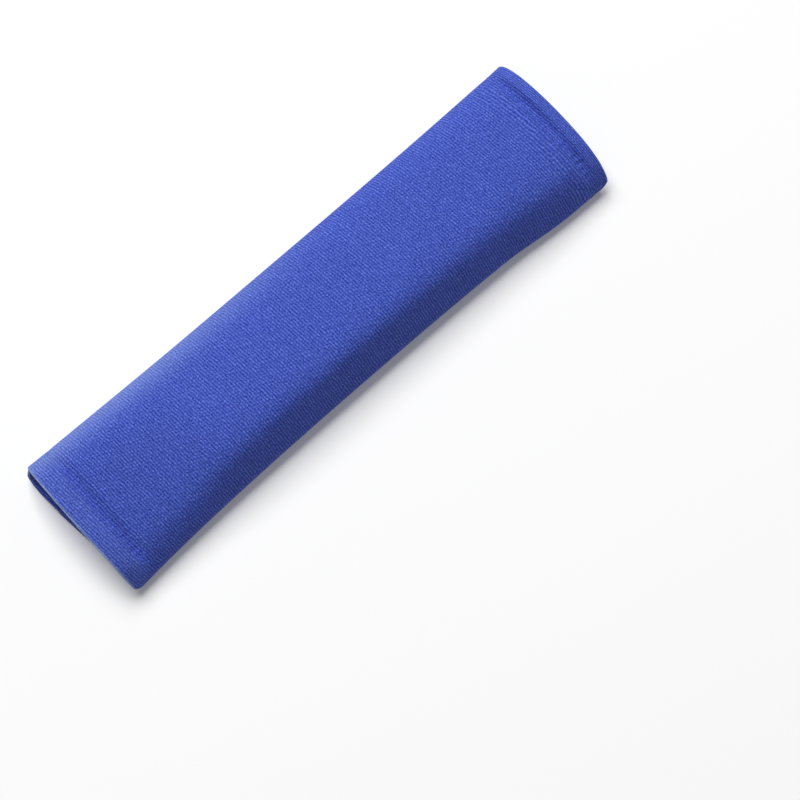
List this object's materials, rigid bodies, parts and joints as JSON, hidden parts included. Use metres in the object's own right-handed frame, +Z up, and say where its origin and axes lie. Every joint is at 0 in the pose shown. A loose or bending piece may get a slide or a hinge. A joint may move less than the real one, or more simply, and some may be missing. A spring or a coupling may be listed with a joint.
{
  "type": "seat belt shoulder pad",
  "caption": "Padded fabric sleeve that wraps round a seat belt and closes underneath with overlapping hook and loop flaps, hemmed at both open ends.",
  "frame": {"origin": "on the ground under the middle of the sleeve, lying on its closed flaps", "axes": "+X along the belt, +Y across it towards the fold that carries the upper flap, +Z up out of the smooth face"},
  "size_m": [0.235, 0.0614, 0.022],
  "materials": {
    "cover_knit": "soft brushed rib knit, royal blue",
    "foam": "open-cell sponge sheet",
    "lining_cloth": "plain knitted backing",
    "fastener_tape": "woven tape with hooks or loops",
    "thread": "polyester sewing thread"
  },
  "bodies": {
    "root": {"outer_cover": "cover_knit", "foam_padding": "foam", "inner_lining": "lining_cloth", "hook_strip": "fastener_tape", "loop_strip": "fastener_tape", "hem_stitching_left": "thread", "hem_stitching_right": "thread", "hook_strip_stitching_front": "thread", "hook_strip_stitching_rear": "thread", "loop_strip_stitching_front": "thread", "loop_strip_stitching_rear": "thread"}
  },
  "joints": []
}
